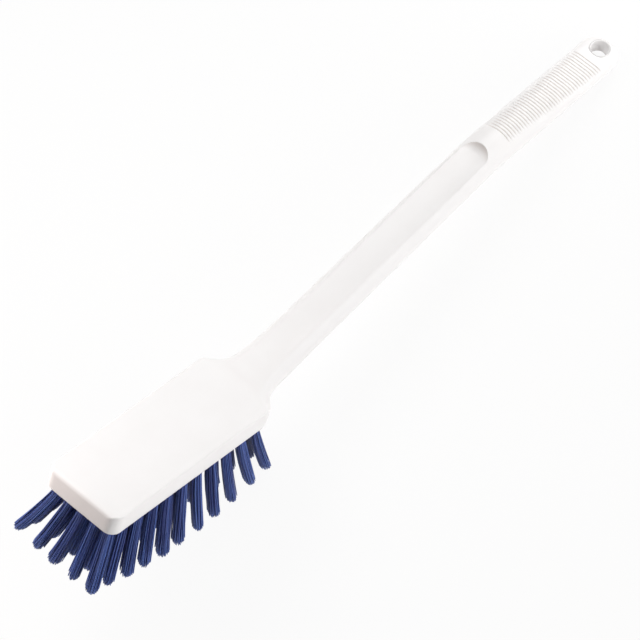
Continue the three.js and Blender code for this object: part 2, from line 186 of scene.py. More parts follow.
# Soft lamps: place, the point each looks at, side length, power in watts and colour. Four are close
# to the brush, so that their light falls off along and across it.
LAMPS = {
    "key": ((0.8, -1.3, 1.29), (0, 0, 0), 1.4, 13.4, (1, 1, 1)),
    "left": ((0.3, 1.7, 0.8), (0, 0, 0), 1.4, 6.1, (1, 1, 1)),
    "right": ((0.2, -1.8, 0.5), (0, 0, 0), 1.4, 23.3, (1, 0.99, 0.99)),
    "head_front": ((-0.27, 0.12, 0.15), (-0.19, 0, 0.085), 0.08, 0.17, (1, 0.86, 0.81)),
    "head_left": ((-0.09, 0.3, 0.42), (-0.13, 0, 0.09), 0.25, 1.35, (1, 1, 1)),
    "grip_end": ((0.38, 0.1, 0.35), (0.17, 0, 0.03), 0.2, 0.36, (1, 0.97, 0.95)),
    "grip_low": ((0.36, 0.06, 0.13), (0.17, 0, 0.03), 0.1, 0.168, (1, 1, 1)),
}

# Floor and camera
WHITE = (1, 1, 1, 1)
FLOOR_REACH = 4.0
FLOOR_HEIGHT = -0.0002
SENSOR_WIDTH = 36.0
CAMERA_REACH = 20.0

# Settings that length and colour properties share
LENGTH = {"unit": "LENGTH", "precision": 5}
COLOUR = {"subtype": "COLOR", "size": 3, "min": 0, "max": 1}


def head_frame():
    """Turn and place of the head's frame: two anchors of the middle row lie along its x axis."""
    boxes = (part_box(f"tuft_anchor_row3_{column:02d}") for column in (1, COLUMNS))
    first, last = ((low + high) / 2 for low, high in boxes)
    along = (last - first).normalized()
    tilt = math.atan2(-along.z, along.x)
    turn = np.array(Matrix.Rotation(tilt, 3, "Y"))
    anchor = np.array((FIRST_COLUMN, 0, ANCHOR_HEIGHT)) / MM
    return turn, np.array(first) - turn @ anchor


def in_frame(points):
    """Points of the head's frame in millimetres, as points of the packed frame in metres."""
    turn, place = head_frame()
    return np.asarray(points) / MM @ turn.T + place


def ramp(x, start, end):
    """Share of the way from start to end, held at 0 and 1."""
    return np.clip((x - start) / (end - start), 0, 1)


def ease(x, start, end):
    """The same share with soft ends: 3 t squared less 2 t cubed."""
    share = ramp(x, start, end)
    return share * share * (3 - 2 * share)


def ramp_area(x, start, end):
    """Area under ramp, for heights whose slope changes evenly."""
    return ramp(x, start, end) ** 2 * (end - start) / 2 + np.maximum(x - end, 0)


def soft_min(a, b, reach):
    """The lower of two heights, with the edge between them rounded over a reach."""
    near = np.maximum(reach - np.abs(a - b), 0) / reach
    return np.minimum(a, b) - near * near * reach / 4


def unit(vectors):
    """Vectors brought to a length of 1."""
    return vectors / np.linalg.norm(vectors, axis=-1, keepdims=True)


def through(places, values, x):
    """Cubic through the stations whose slope at each is the harmonic mean of its neighbours'."""
    secant = np.diff(values) / np.diff(places)
    both = secant[:-1] * secant[1:]
    total = secant[:-1] + secant[1:]
    slope = np.zeros(len(places))
    slope[1:-1] = np.where(both > 0, 2 * both / np.where(both > 0, total, 1), 0)
    i = np.clip(np.searchsorted(places, x) - 1, 0, len(places) - 2)
    span = places[i + 1] - places[i]
    t = np.clip((x - places[i]) / span, 0, 1)
    s = 1 - t
    ends = values[i] * s * s * (1 + 2 * t) + values[i + 1] * t * t * (1 + 2 * s)
    return ends + span * t * s * (slope[i] * s - slope[i + 1] * t)


def drawn_in(radius, from_tip):
    """How far a rounded end has drawn in at a distance from its tip: a quarter circle."""
    inside = np.maximum(radius - from_tip, 0)
    return radius - np.sqrt(radius * radius - inside * inside)


def edge_share(y, width, across):
    """Share of the way across a rounded edge, from the flat part at 0 to the side at 1."""
    return np.clip((np.abs(y) - (width - across)) / across, 0, 1)


def beside_spine(x, y, above):
    """Points square to the spine: the spine's slope is a sum of ramps, its height their area."""
    bends = ((SHAFT_SLOPE, NECK), (GRIP_SLOPE - SHAFT_SLOPE, BEND), (END_TURN_UP, TURN_UP))
    tilt = np.arctan(sum(bend * ramp(x, *reach) for bend, reach in bends))
    height = SPINE_HEIGHT + sum(bend * ramp_area(x, *reach) for bend, reach in bends)
    return np.stack((x - above * np.sin(tilt), y + 0 * x, height + above * np.cos(tilt)), axis=-1)


def section_at(x):
    """Half width, above, below and the four roundings of the section at x, drawn in at both ends.

    At the front the width and the top draw in as quarter circles, at the grip's end all as
    superellipses.
    """
    width, above, below, across, down, face_across, face_up = (
        through(STATIONS[:, 0], STATIONS[:, k], x) for k in range(1, 8)
    )
    width = width - drawn_in(HEAD_CORNER, x)
    above = above - drawn_in(HEAD_FRONT_EDGE, x)
    share = ramp(x, END_START, END_START + END_LENGTH)
    width = width * (1 - share ** END_WIDTH_POWER) ** (1 / END_WIDTH_POWER)
    above = above * np.sqrt(1 - share ** END_TOP_POWER)
    below = below * np.sqrt(1 - share ** END_UNDER_POWER)
    across = np.minimum(across, width - LEAST_STRAIGHT)
    face_across = np.minimum(face_across, width - LEAST_STRAIGHT)
    fit = np.minimum(1, (above + below - LEAST_STRAIGHT) / (down + face_up))
    return width, above, below, across, down * fit, face_across, face_up * fit


def step_rim(y):
    """x of the rim of the thumb flat's step, which bows back in the middle as a parabola."""
    return STEP_X + STEP_BOW * np.maximum(1 - (y / STEP_HALF_WIDTH) ** 2, STEP_BOW_LEAST)


def thumb_cut(x, y, section, sizes):
    """Height of the cut for the thumb flat over the spine, and the share of the way into its step.

    The flat is a shallow parabola between two ridges that ends in a cove, a quarter ellipse that
    climbs to a bowed rim.
    """
    width, above, _, across, down, _, _ = section
    flat = through(FLAT_X, FLAT_ABOVE, x)
    rise = np.clip(1 - (above - flat) / down, 0, 1)
    ridge = np.maximum(width - across * (1 - np.sqrt(1 - rise * rise)), FLAT_LEAST_HALF)
    deeper = sizes.hollow_depth_step - sizes.hollow_depth
    depth = (sizes.hollow_depth + deeper * ramp(x, *HOLLOW_DEEPENS)) * MM * ramp(x, *HOLLOW_ENDS)
    floor = flat + FLAT_LIFT * (1 - ramp(x, *FLAT_LIFT_ENDS)) + depth * ((y / ridge) ** 2 - 1)
    cove = sizes.step_cove * MM
    into = np.clip((x - step_rim(y) + cove) / cove, 0, 1)
    return floor + (above + STEP_OVER - floor) * (1 - np.sqrt(1 - into * into)), into


def back_height(x, y, sizes):
    """Height of the back over the spine, its y there, and the share of painted shade there.

    The section falls off at its edges as a quarter ellipse. The lower of it and the thumb flat's
    cut is kept, with rounded edges. A groove is a squared cosine, sunk square to the section.
    Painted shade darkens the grooves, less towards the sides, and the step's wall, most at its rim.
    """
    section = section_at(x)
    width, above, _, across, down, _, _ = section
    q = edge_share(y, width, across)
    fall = np.sqrt(1 - q * q)
    plain = above - down * (1 - fall)
    cut, into = thumb_cut(x, y, section, sizes)
    soft, sharp = sizes.ridge_round_neck * MM, sizes.ridge_round_step * MM
    edge = (soft + (sharp - soft) * ramp(x, NECK[1], BEND[0])) * ramp(x, *NECK) + RIDGE_LEAST_ROUND
    height = soft_min(plain, cut, edge)

    first, _, count = GROOVES
    nearest = np.clip(np.round((x - first) / GROOVE_PITCH), 0, count - 1)
    off = np.clip(np.abs(x - first - nearest * GROOVE_PITCH) / (sizes.groove_width * MM), 0, 0.5)
    groove = np.cos(math.pi * off) ** 2
    sunk = groove * ease(plain / above, *GROOVE_FADE) * sizes.groove_depth * MM
    # Painted shade on the step's wall grows towards its rim; in the grooves it fades out down the
    # sides.
    painted_step_shade = STEP_PAINTED_SHADE * into ** 2 * (cut < plain)
    crease = np.maximum(groove * ease(plain / above, *GROOVE_PAINTED_SHADE_FADE), painted_step_shade)
    out = unit(np.stack((down * q * np.sign(y), across * fall), axis=-1))
    return height - sunk * out[..., 1], y - sunk * out[..., 0], crease


def face_height(x, y):
    """Height of the underside over the spine: flat, with quarter ellipses up to the sides."""
    width, _, below, _, _, across, up = section_at(x)
    q = edge_share(y, width, across)
    return up * (1 - np.sqrt(1 - q * q)) - below


def front_bow(x, height):
    """How far forward the front swells: a quarter ellipse up from the face, faded out along x."""
    low = np.clip(1 - height / FACE_ROUND_UP, 0, 1)
    return FRONT_BOW * (1 - ramp(x, 0, FRONT_BOW_LENGTH)) ** FRONT_BOW_FADE * np.sqrt(1 - low * low)


def lines_along():
    """x of the sheet's rings, and the first ring of the tuft cells and of the hanging hole's block.

    The rings are even over the cells and the block, close at the step and the grooves, and follow a
    sine at the end of the grip.
    """
    field = np.arange(COLUMNS * CELL + 1) * COLUMN_PITCH / CELL + FIRST_COLUMN - COLUMN_PITCH / 2
    first, _, count = GROOVES
    grooves = (first + GROOVE_PITCH * np.arange(count)[:, None] + GROOVE_LINES).ravel()
    grooves = grooves[:-LINES_PAST_GROOVES]
    parts = [np.array(FRONT_LINES), field]
    for end, lines in LINES_TO:
        parts.append(np.linspace(parts[-1][-1], end, lines + 1)[1:])
    parts.append(np.linspace(parts[-1][-1], grooves[0], LINES_TO_GROOVES + 2)[1:-1])
    parts.append(grooves)
    block = sum(len(part) for part in parts)
    parts.append(np.linspace(*HOLE_BLOCK, 2 * HOLE_CELLS + 1))
    start, end = math.asin((HOLE_BLOCK[1] - END_START) / END_LENGTH), math.asin(END_SHARE)
    parts.append(END_START + END_LENGTH * np.sin(np.linspace(start, end, END_LINES + 1)[1:]))
    return np.concatenate(parts), len(FRONT_LINES), block


def spread(side_cells):
    """Shares of the half width from -1 to 1, as sines of even steps of angle.

    The hanging hole's cells cover the share HOLE_SPREAD of the angle, the side cells the rest.
    """
    middle = np.linspace(-HOLE_SPREAD, HOLE_SPREAD, 2 * HOLE_CELLS + 1)
    side = np.linspace(HOLE_SPREAD, 1, side_cells + 1)[1:]
    return np.sin(np.concatenate((-side[::-1], middle, side)) * math.pi / 2)


def back_lines(along):
    """x and y of the back's points. Over the step the lines bow with its rim."""
    shares = spread(SIDE_CELLS)
    x = np.repeat(along[:, None], len(shares), axis=1)
    y = section_at(x)[0] * shares
    near = ease(x, *STEP_WARP[:2]) * (1 - ease(x, *STEP_WARP[2:]))
    return x + near * (step_rim(y) - STEP_X), y


def face_lines(along):
    """x and y of the face's points: lines that fit the tufts ease into lines that fit the hole."""
    width, _, _, _, _, across, _ = (value[:, None] for value in section_at(along))
    edge = 1 - across / width * (1 - np.cos(np.linspace(0, math.pi / 2, EDGE_LINES)))
    rows = np.linspace(-1, 1, ROWS * CELL + 1) * ROWS * ROW_PITCH / 2 / FACE_HALF_WIDTH
    margin = (1 + rows[-1]) / 2
    flat = np.concatenate(([margin], -rows, [-margin])) * (width - across) / width
    head = np.concatenate((edge, flat, -edge[:, ::-1]), axis=1)
    grip = -spread((head.shape[1] - 2 * HOLE_CELLS - 1) // 2)
    fade = ease(along, *FACE_FADE)[:, None]
    x = np.repeat(along[:, None], head.shape[1], axis=1)
    return x, width * ((1 - fade) * head + fade * grip)


def open_hole(x, y, i0, j0, middle, radius):
    """Spreads a block of the sheet so that a square loop becomes the rim of the hanging hole.

    Each point of the block goes from the circle to the block's own edge by its share of the way
    between that loop and the edge, along the line from the block's middle.
    """
    cells = HOLE_CELLS
    steps = np.arange(-cells, cells + 1.0)
    u, v = np.meshgrid(steps, steps, indexing="ij")
    ring = np.maximum(np.abs(u), np.abs(v))
    ring[cells, cells] = 1
    way = np.arctan2(v, u)
    rows, columns = slice(i0, i0 + 2 * cells + 1), slice(j0, j0 + 2 * cells + 1)
    along, side = x[rows, j0], y[rows, j0 + 2 * cells]
    edge_x = np.interp(u / ring * cells, steps, along)
    half = np.interp(edge_x, along, side)
    edge_y = half * np.interp(v / ring * cells, steps, y[i0, columns] / side[0])
    share = np.clip((ring - HOLE_LOOP) / (cells - HOLE_LOOP), 0, 1)
    inner = radius * np.minimum(ring / HOLE_LOOP, 1)
    turn = 1.0 if side[0] > y[i0, j0] else -1.0
    x[rows, columns] = (1 - share) * (middle + inner * np.cos(way)) + share * edge_x
    y[rows, columns] = (1 - share) * turn * inner * np.sin(way) + share * edge_y


def open_tuft_holes(x, y, i0, j0):
    """Spreads each cell of the bristle face so that its inner square loops become a round hole.

    Returns how deep each point lies in its hole. The loops' radii and depths come from HOLE_RINGS.
    """
    rows, columns = slice(i0, i0 + COLUMNS * CELL + 1), slice(j0, j0 + ROWS * CELL + 1)
    i, j = np.meshgrid(np.arange(COLUMNS * CELL + 1), np.arange(ROWS * CELL + 1), indexing="ij")
    half = CELL // 2
    u, v = i % CELL - half, j % CELL - half
    ring = np.maximum(np.abs(u), np.abs(v))
    way = np.arctan2(v, u)
    radius, depth, square = (HOLE_RINGS[ring, k] for k in range(3))
    middle_x = FIRST_COLUMN + COLUMN_PITCH * (i // CELL)
    middle_y = ROW_PITCH * ((ROWS - 1) / 2 - j // CELL)
    x[rows, columns] = (1 - square) * (middle_x + radius * np.cos(way)) + square * x[rows, columns]
    y[rows, columns] = (1 - square) * (middle_y - radius * np.sin(way)) + square * y[rows, columns]
    sunk = np.zeros_like(x)
    sunk[rows, columns] = depth
    return sunk


def hole_middles():
    """x of the upright hanging hole's middle on the back and on the face of the leaning grip."""
    _, above, below, _, _, _, _ = section_at(np.array([HOLE_CENTRE]))
    lean = math.sin(math.atan(GRIP_SLOPE + END_TURN_UP * ramp(HOLE_CENTRE, *TURN_UP)))
    return HOLE_CENTRE + above[0] * lean, HOLE_CENTRE - below[0] * lean


def loop_round(i0, j0, turn):
    """Indices of the hanging hole's square loop in order round it, and each point's angle."""
    side = np.arange(-HOLE_LOOP, HOLE_LOOP)
    full = np.full_like(side, HOLE_LOOP)
    u = np.concatenate((full, -side, -full, side))
    v = np.concatenate((side, full, -side, -full))
    return (i0 + HOLE_CELLS + u, j0 + HOLE_CELLS + turn * v), np.arctan2(v, u)


def hole_wall(upper, under, way, sizes):
    """Rows of points down the hanging hole, between its loops on the back and on the face.

    Each rim is a parabola that leaves the sheet along it and turns into the upright wall.
    """
    ring_x, ring_y = HOLE_RADIUS * np.cos(way), HOLE_RADIUS * np.sin(way)
    top_x, low_x = (middle + ring_x for middle in hole_middles())
    upper_edge = beside_spine(top_x, ring_y, back_height(top_x, ring_y, sizes)[0])
    under_edge = beside_spine(low_x, ring_y, face_height(low_x, ring_y))
    down = np.array((0, 0, sizes.hole_rim_round * MM))
    up = np.array((0, 0, sizes.hole_under_round * MM))
    t = np.linspace(0, 1, HOLE_RIM_ROWS + 1)[1:, None, None]
    leave, corner, arrive = (1 - t) ** 2, 2 * t * (1 - t), t * t
    upper_rows = leave * upper + corner * upper_edge + arrive * (upper_edge - down)
    under_rows = leave * under + corner * under_edge + arrive * (under_edge + up)
    middle = (upper_rows[-1:] + under_rows[-1:]) / 2
    return np.concatenate((upper_rows, middle, under_rows[::-1]))


def end_rings(edge, at_front):
    """Rings that shrink from an edge of the sheet to its middle, bowed in front and flat behind."""
    middle = edge.mean(axis=0)
    rings = middle + (edge - middle) * CAP_RINGS[:, None, None]
    rings[..., 0] = -front_bow(0, rings[..., 2]) if at_front else edge[:, 0].mean()
    return rings


def numbered(start, points):
    """Numbers from start on for a grid of points."""
    return start + np.arange(points[..., 0].size).reshape(points.shape[:-1])


def loop_quads(loops, turned=False):
    """Quads between neighbouring closed loops of point numbers. Turned ones face the other way."""
    after = np.roll(loops, -1, axis=-1)
    corners = (loops[..., :-1, :], after[..., :-1, :], after[..., 1:, :], loops[..., 1:, :])
    quads = np.stack(corners, axis=-1)
    return quads[..., (0, 3, 2, 1)] if turned else quads


def moulded_sheet(sizes):
    """Vertices, quads, triangles and painted shade shares of the whole moulding, in the head's
    frame.

    The sheet is a grid: one parameter runs along the spine and the other round the section, over
    the back from right to left and under the face from left to right. A wall joins the two loops of
    the hanging hole, and shrinking rings close both ends.
    """
    along, field, block = lines_along()
    back_x, back_y = back_lines(along)
    face_x, face_y = face_lines(along)
    back_count = back_x.shape[1]
    back_j, face_j = ((x.shape[1] - 1) // 2 - HOLE_CELLS for x in (back_x, face_x))
    top_middle, low_middle = hole_middles()
    open_hole(back_x, back_y, block, back_j, top_middle, HOLE_RADIUS + sizes.hole_rim_round * MM)
    open_hole(face_x, face_y, block, face_j, low_middle, HOLE_RADIUS + sizes.hole_under_round * MM)
    sunk = open_tuft_holes(face_x, face_y, field, EDGE_LINES + 1)

    # Third value of the back: its share of painted shade in the grooves and on the step's wall.
    back_z, back_y, groove = back_height(back_x, back_y, sizes)
    back = beside_spine(back_x, back_y, back_z)
    face = beside_spine(face_x, face_y, face_height(face_x, face_y))
    face[..., 2] += sunk
    sheet = np.concatenate((back, face), axis=1)
    sheet[..., 0] -= front_bow(np.concatenate((back_x, face_x), axis=1), sheet[..., 2])
    # Painted shade share of every point: the back's, and the tuft holes darker the deeper they go.
    crease = np.concatenate((groove, sunk / HOLE_DEPTH), axis=1)

    number = numbered(0, sheet)
    quads = loop_quads(number, turned=True)
    keep = np.ones(quads.shape[:2], bool)
    inside = slice(HOLE_CELLS - HOLE_LOOP, HOLE_CELLS + HOLE_LOOP)
    for j in (back_j, back_count + face_j):
        keep[block:, j:][inside, inside] = False
    verts, faces, triangles = [sheet.reshape(-1, 3)], [quads[keep]], []

    top, way = loop_round(block, back_j, 1)
    low, _ = loop_round(block, back_count + face_j, -1)
    wall = hole_wall(sheet[top], sheet[low], way, sizes)
    start = number.size
    loops = np.concatenate((number[top][None], numbered(start, wall), number[low][None]))
    verts.append(wall.reshape(-1, 3))
    faces.append(loop_quads(loops, turned=True).reshape(-1, 4))
    start += wall[..., 0].size

    for ring, order in ((0, 1), (len(along) - 1, -1)):
        cap = end_rings(sheet[ring], ring == 0)
        loops = np.concatenate((number[ring][None], numbered(start, cap)))
        pole = start + cap[..., 0].size
        verts += [cap.reshape(-1, 3), cap[-1].mean(axis=0)[None]]
        faces.append(loop_quads(loops).reshape(-1, 4)[:, ::order])
        fan = (loops[-1], np.roll(loops[-1], -1), np.full(loops.shape[1], pole))
        triangles.append(np.stack(fan, axis=-1)[:, ::order])
        start = pole + 1
    crease = np.concatenate((crease.ravel(), np.zeros(start - crease.size)))
    return np.concatenate(verts), np.concatenate(faces), np.concatenate(triangles), crease


def mesh_piece(name, verts, quads, triangles, material, **values):
    """A smooth mesh object at the origin from whole arrays, without points that no face uses.

    Each further value is kept on the points as a named attribute for the material.
    """
    used = np.zeros(len(verts), bool)
    used[quads.ravel()] = True
    used[triangles.ravel()] = True
    number = np.cumsum(used) - 1
    corners = np.concatenate((number[quads].ravel(), number[triangles].ravel()))
    sides = np.concatenate((np.full(len(quads), 4), np.full(len(triangles), 3)))
    starts = np.concatenate(([0], np.cumsum(sides)[:-1]))
    mesh = bpy.data.meshes.new(name)
    mesh.vertices.add(int(used.sum()))
    mesh.vertices.foreach_set("co", np.ascontiguousarray(verts[used], np.float32).ravel())
    mesh.loops.add(len(corners))
    mesh.loops.foreach_set("vertex_index", corners.astype(np.int32))
    mesh.polygons.add(len(sides))
    mesh.polygons.foreach_set("loop_start", starts.astype(np.int32))
    mesh.update(calc_edges=True)
    if mesh.validate():
        raise RuntimeError(f"{name} has broken faces")
    mesh.shade_smooth()
    for key, value in values.items():
        attribute = mesh.attributes.new(key, "FLOAT", "POINT")
        attribute.data.foreach_set("value", value[used].astype(np.float32))
    mesh.materials.append(material)
    piece = bpy.data.objects.new(name, mesh)
    bpy.context.scene.collection.objects.link(piece)
    return piece


def tuft_places(sizes):
    """Column, place on the bristle face, and lean along and across the head of every tuft.

    The lean along the head is a parabola through its front, middle and rear values. The lean across
    grows with the row, most in the middle of the head, and drifts to the left towards the front,
    the right-hand rows most.
    """
    grid = np.meshgrid(np.arange(COLUMNS), np.arange(ROWS), indexing="ij")
    column, row = (value.ravel() for value in grid)
    along = 2 * column / (COLUMNS - 1) - 1
    across = 1 - 2 * row / (ROWS - 1)
    front, middle, rear = sizes.front_lean, sizes.middle_lean, sizes.rear_lean
    lean_x = middle + (rear - front) / 2 * along + ((rear + front) / 2 - middle) * along ** 2
    splay = sizes.outer_lean + sizes.middle_splay * (1 - along ** 2)
    drift = sizes.front_drift * np.maximum(-along, 0) ** 2
    lean_y = splay * across + drift * (1 + RIGHT_DRIFT * (1 - across))
    x, y = FIRST_COLUMN + COLUMN_PITCH * column, across * ROW_PITCH * (ROWS - 1) / 2
    return column, np.stack((x, y), axis=-1), lean_x, lean_y


def bristle_arrays(first, last, sizes):
    """Vertices, quads, caps, tones and shares along of the filaments in columns first to last - 1.

    Filament k of a tuft starts at the k-th point of a sunflower disc, follows its tuft's way with a
    bend that grows with a power of the share along it, spreads towards a wider disc with another
    power, and curls as half a sine wave. The outer filaments are shorter, so that a tuft ends in a
    dome. Each tuft strays a little from its lean, length and spread.
    """
    rng = np.random.default_rng(SEED + first)
    column, place, lean_x, lean_y = tuft_places(sizes)
    chosen = (column >= first) & (column < last)
    place, lean_x, lean_y = place[chosen], lean_x[chosen], lean_y[chosen]
    tufts = len(place)
    lean_x = lean_x + rng.normal(0, sizes.lean_scatter, tufts)
    lean_y = lean_y + rng.normal(0, sizes.lean_scatter, tufts)
    way = unit(np.stack((np.tan(lean_x), np.tan(lean_y), -np.ones(tufts)), axis=-1))[:, None, None]

    count = sizes.filaments
    k = np.arange(count)
    disc = np.sqrt((k + 0.5) / count)
    spin = rng.uniform(0, 2 * math.pi, tufts)[:, None] + k * math.pi * (3 - math.sqrt(5))
    out = np.stack((np.cos(spin), np.sin(spin)), axis=-1) * disc[:, None]
    tip = out + rng.normal(0, TIP_SCATTER, (tufts, count, 2))
    tip /= np.maximum(np.linalg.norm(tip, axis=-1, keepdims=True), 1)
    worn = np.abs(rng.normal(0, sizes.tuft_wear, tufts))[:, None]
    ragged = np.abs(rng.normal(0, sizes.raggedness, (tufts, count)))
    length = sizes.length * MM * (1 - worn - sizes.tip_dome * disc ** DOME_POWER - ragged)
    length = length[..., None, None]
    curl = rng.normal(0, sizes.curl * MM, (tufts, count, 2))
    tip_radius = sizes.tip_radius * MM * rng.uniform(*TIP_SPREAD, tufts)[:, None, None, None]

    on = np.maximum(FILAMENT_SHARES, 0)[:, None]
    flare = on ** FLARE_POWER
    at_root = out[:, :, None] * (sizes.root_radius * MM) * (1 - flare)
    disc_at = at_root + tip[:, :, None] * tip_radius * flare
    wave = curl[:, :, None] * np.sin(math.pi * on)
    flat = place[:, None, None] + way[..., :2] * (length * on ** BEND_POWER) + disc_at + wave
    depth = length * way[..., 2:] * FILAMENT_SHARES[:, None]
    centre = np.concatenate((flat, depth), axis=-1)

    forward = unit(np.gradient(centre, axis=2))
    first_side = unit(np.cross(forward, (1.0, 0, 0)))
    second_side = np.cross(forward, first_side)
    angle = np.arange(FILAMENT_SIDES)[:, None] * 2 * math.pi / FILAMENT_SIDES
    radius = sizes.filament_radius * MM * FILAMENT_TAPER[:, None, None]
    skin = centre[..., None, :] + radius * (
        np.cos(angle) * first_side[..., None, :] + np.sin(angle) * second_side[..., None, :])

    number = numbered(0, skin)
    root, end = (number[..., ring, :].reshape(-1, FILAMENT_SIDES) for ring in (0, -1))
    fans = [(0, side, side + 1) for side in range(1, FILAMENT_SIDES - 1)]
    caps = [root[:, (a, c, b)] for a, b, c in fans] + [end[:, fan] for fan in fans]
    tone = np.broadcast_to(rng.random((tufts, count))[..., None, None], number.shape)
    along = np.broadcast_to(on, number.shape)
    quads = loop_quads(number).reshape(-1, 4)
    return skin.reshape(-1, 3), quads, np.concatenate(caps), tone.ravel(), along.ravel()


class NodeBench:
    """Short ways to add and join the nodes of a material or of the world."""

    def __init__(self, tree):
        self.tree = tree

    def made(self, kind):
        """The first node of a kind, which the tree was made with."""
        return next(node for node in self.tree.nodes if node.type.startswith(kind))

    def feed(self, node, inputs):
        """Gives each input of a node, by name or number, its value or another node's socket."""
        for key, value in inputs.items():
            if isinstance(value, NodeSocket):
                self.tree.links.new(value, node.inputs[key])
            else:
                node.inputs[key].default_value = value
        return node

    def add(self, kind, inputs=None, **settings):
        """A new node with its settings and inputs."""
        node = self.tree.nodes.new(kind)
        for key, value in settings.items():
            setattr(node, key, value)
        return self.feed(node, inputs or {})

    def places(self, stretch=None):
        """Object coordinates, multiplied along each axis where a stretch is given."""
        place = self.add("ShaderNodeTexCoord").outputs["Object"]
        if stretch:
            inputs = {"Vector": place, "Scale": stretch}
            place = self.add("ShaderNodeMapping", inputs).outputs["Vector"]
        return place

    def value(self, name):
        """A value that the piece keeps on its points."""
        return self.add("ShaderNodeAttribute", attribute_name=name).outputs["Fac"]

    def noise(self, place, scale, detail, roughness=0.5):
        """Cloudy noise at the places given."""
        inputs = {"Vector": place, "Scale": scale, "Detail": detail, "Roughness": roughness}
        return self.add("ShaderNodeTexNoise", inputs).outputs["Fac"]

    def remap(self, value, low, high, start=0.0, end=1.0):
        """A value that goes from low to high while another goes from start to end."""
        inputs = {"Value": value, "From Min": start, "From Max": end, "To Min": low, "To Max": high}
        return self.add("ShaderNodeMapRange", inputs).outputs["Result"]

    def combine(self, operation, a, b):
        """The result of one operation on two values."""
        return self.add("ShaderNodeMath", {0: a, 1: b}, operation=operation).outputs["Value"]

    def blend(self, share, plain, other):
        """One colour with a share of another. Each is a colour or a socket."""
        plain, other = (c if isinstance(c, NodeSocket) else (*c, 1) for c in (plain, other))
        inputs = {"Factor": share, "A": plain, "B": other}
        return self.add("ShaderNodeMix", inputs, data_type="RGBA").outputs["Result"]

    def bump(self, height, strength, distance):
        """The surface's normal tilted by a height."""
        inputs = {"Height": height, "Strength": strength, "Distance": distance}
        return self.add("ShaderNodeBump", inputs).outputs["Normal"]

    def mix_shaders(self, share, plain, other):
        """One shader with a share of another, joined to the tree's surface."""
        mix = self.add("ShaderNodeMixShader", {"Fac": share, 1: plain, 2: other})
        self.feed(self.made("OUTPUT"), {"Surface": mix.outputs["Shader"]})

    def clear_sight(self):
        """1 for rays from the camera, off gloss and through glass, and 0 for the rest."""
        path = self.add("ShaderNodeLightPath").outputs
        clear = self.combine("MAXIMUM", path["Is Glossy Ray"], path["Is Transmission Ray"])
        return self.combine("MAXIMUM", path["Is Camera Ray"], clear)


def new_finish(name):
    """A new material, its nodes and its shader."""
    material = bpy.data.materials.new(name)
    material.use_nodes = True
    nodes = NodeBench(material.node_tree)
    return material, nodes, nodes.made("BSDF_PRINCIPLED")


def satin_moulding(finish):
    """Satin white plastic: warm mottling, fine grain from the tool, painted shade in the creases.
    """
    material, nodes, shader = new_finish("satin_white_moulding")
    place = nodes.places()
    cloud = nodes.noise(place, scale=38.0, detail=4.0, roughness=0.55)
    grain = nodes.noise(place, scale=2600.0, detail=2.0, roughness=0.6)
    mottle = nodes.remap(cloud, 0, 1, start=0.35, end=0.75)
    clean = nodes.blend(mottle, finish.colour, finish.mottle_colour)
    # Painted shade: a warm dark colour darkens the grooves, the tuft holes and the step's wall.
    painted_shade_amount = nodes.combine("MULTIPLY", nodes.value("crease"), finish.crease_shade)
    nodes.feed(shader, {
        "Base Color": nodes.blend(painted_shade_amount, clean, finish.crease_colour),
        "Roughness": nodes.remap(cloud, finish.roughness - 0.05, finish.roughness + 0.07),
        "Normal": nodes.bump(grain, strength=0.12, distance=0.0001),
        "IOR": 1.49,
    })
    return material


def blue_filament(finish):
    """Blue polyester filament: each has its own tone, streaks along it and a paler tip."""
    material, nodes, shader = new_finish("blue_filament_polyester")
    tone = nodes.combine("POWER", nodes.value("tone"), 1.8)
    worn = nodes.remap(nodes.value("along"), 0, 0.35, start=0.8, end=1.0)
    streak = nodes.noise(nodes.places(stretch=(1, 1, 0.08)), scale=900.0, detail=2.0)
    blue = nodes.blend(tone, finish.deep_colour, finish.light_colour)
    nodes.feed(shader, {
        "Base Color": nodes.blend(worn, blue, finish.tip_colour),
        "Roughness": nodes.remap(streak, 0.3, 0.55),
        "Normal": nodes.bump(streak, strength=0.2, distance=0.0001),
    })
    return material


def drawn_wire(finish):
    """Bright drawn wire: fine lines along the anchor change its colour, gloss and surface."""
    material, nodes, shader = new_finish("drawn_anchor_wire")
    lines = nodes.noise(nodes.places(stretch=(1, 0.05, 1)), scale=4000.0, detail=3.0)
    nodes.feed(shader, {
        "Base Color": nodes.blend(lines, finish.colour, finish.line_colour),
        "Metallic": 1.0,
        "Roughness": nodes.remap(lines, 0.22, 0.45),
        "Normal": nodes.bump(lines, strength=0.15, distance=0.00005),
    })
    return material


def pale_floor(colour, shade):
    """Pale floor: seen or mirrored it is mostly its own even white, with the shadow kept faint."""
    material, nodes, shader = new_finish("pale_floor")
    nodes.feed(shader, {"Base Color": (*colour, 1), "Roughness": 0.9, "Specular IOR Level": 0.1})
    even = nodes.add("ShaderNodeEmission", {"Color": WHITE, "Strength": 1.0})
    share = nodes.combine("MULTIPLY", nodes.clear_sight(), 1 - shade)
    nodes.mix_shaders(share, shader.outputs["BSDF"], even.outputs["Emission"])
    return material


def studio_world(strength):
    """World whose light is faint all round and whose sight is an even white."""
    world = bpy.data.worlds.new("studio")
    world.use_nodes = True
    nodes = NodeBench(world.node_tree)
    sky = nodes.feed(nodes.made("BACKGROUND"), {"Color": WHITE, "Strength": strength})
    white = nodes.add("ShaderNodeBackground", {"Color": WHITE, "Strength": 1.0})
    nodes.mix_shaders(nodes.clear_sight(), sky.outputs["Background"], white.outputs["Background"])
    return world


